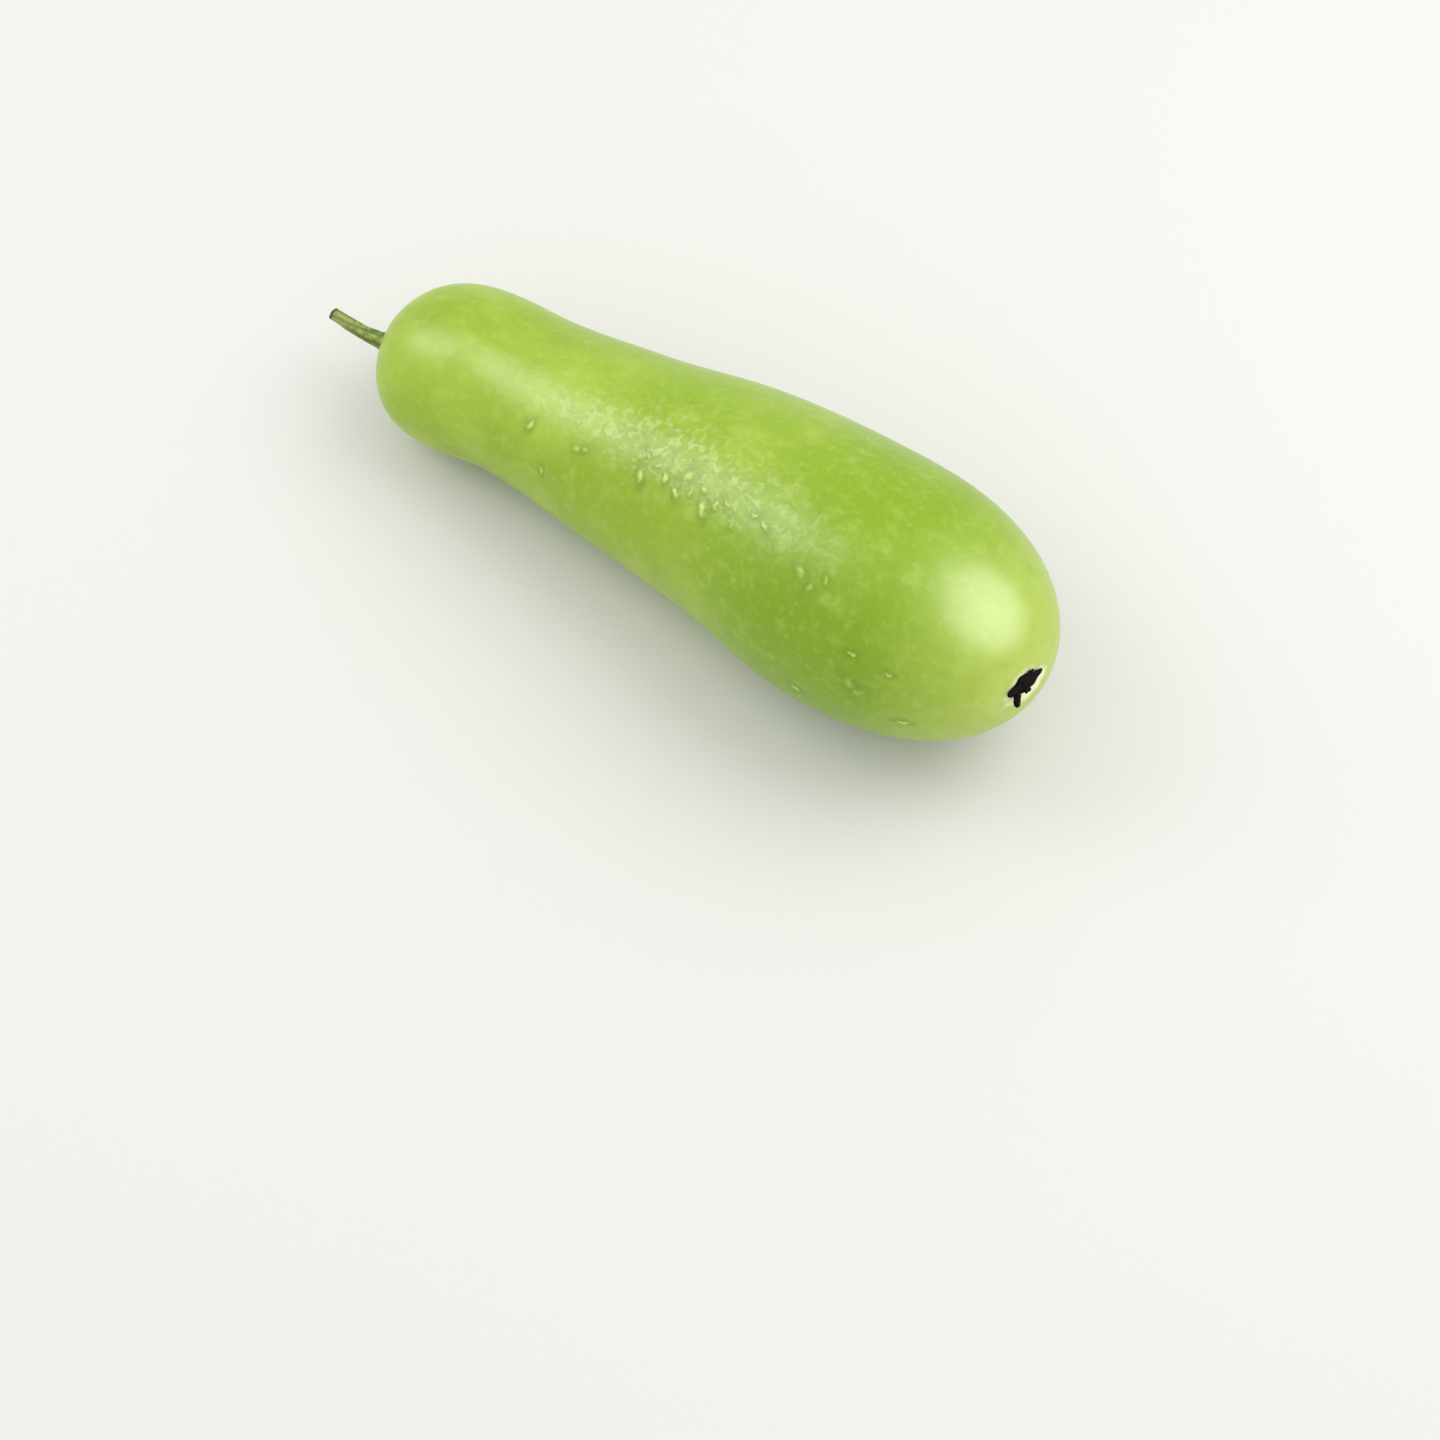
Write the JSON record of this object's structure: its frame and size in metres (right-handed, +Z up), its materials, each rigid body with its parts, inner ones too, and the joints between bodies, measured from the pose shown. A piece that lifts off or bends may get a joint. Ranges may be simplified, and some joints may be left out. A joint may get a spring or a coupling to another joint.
{
  "type": "bottle gourd",
  "caption": "Bottle gourd lying on its side: a smooth pale green fruit with a narrow neck and a fuller belly, a cut stub of stalk and a dried black flower at its far end.",
  "frame": {"origin": "on the ground, under the middle of the whole gourd", "axes": "+Z up, +X from the cut stalk towards the blossom end, along the gourd's length"},
  "size_m": [0.3478, 0.1094, 0.11],
  "materials": {
    "skin": "smooth waxy skin with a soft sheen",
    "stalk": "dull ridged green stalk with a cut end",
    "dried_flower": "dull shrivelled black"
  },
  "bodies": {
    "root": {"fruit": "skin", "stem": "stalk", "blossom_remnant": "dried_flower"}
  },
  "joints": []
}
